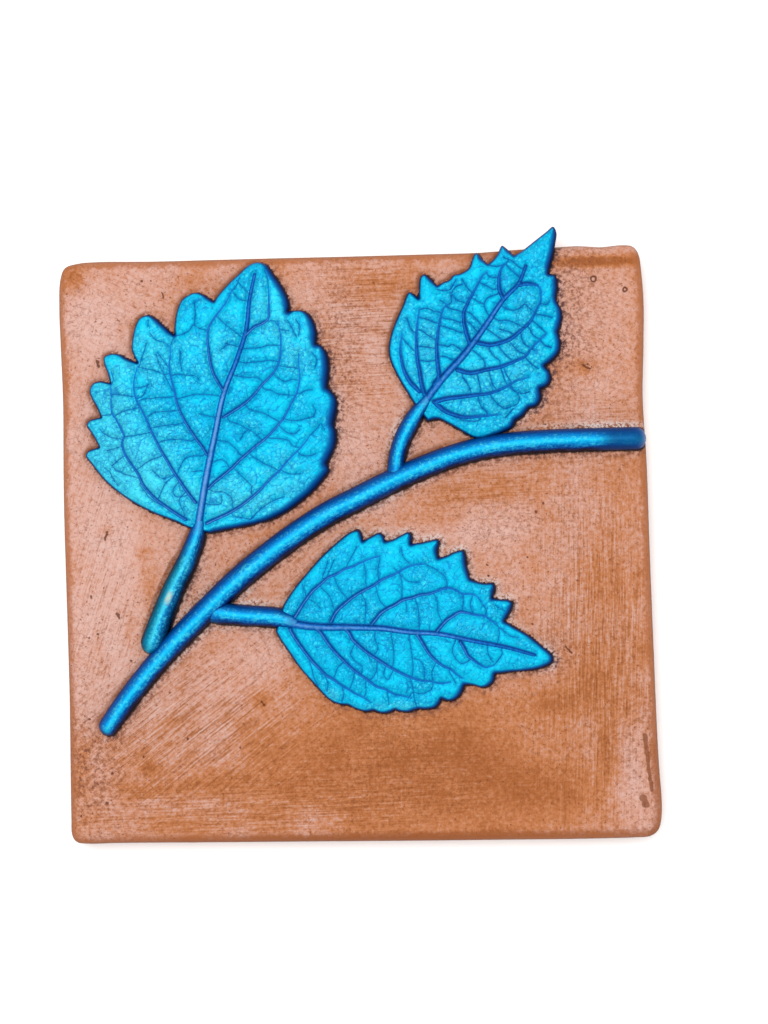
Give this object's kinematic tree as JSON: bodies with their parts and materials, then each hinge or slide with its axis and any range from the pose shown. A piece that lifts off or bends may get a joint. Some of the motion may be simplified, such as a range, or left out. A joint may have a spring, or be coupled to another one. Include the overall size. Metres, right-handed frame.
{
  "type": "decorative tile",
  "caption": "Square fired-clay relief tile with rounded edges and a raised leafy sprig: a curved stem and toothed leaves. Lies on its flat back or is bedded to a wall.",
  "frame": {"origin": "centre of the flat back face, in the plane that lies on the bed", "axes": "+Z out of the decorated face, +Y towards the edge that the upper leaf's tip runs over, +X towards the edge where the main stem ends"},
  "size_m": [0.1525, 0.1577, 0.0166],
  "materials": {
    "painted_clay": "matte terracotta wash with a chalky bloom and brush marks",
    "pearl_blue_paint": "metallic pearl blue paint on the relief, darker in the hollows"
  },
  "bodies": {
    "root": {"relief_tile": "painted_clay"}
  },
  "joints": []
}
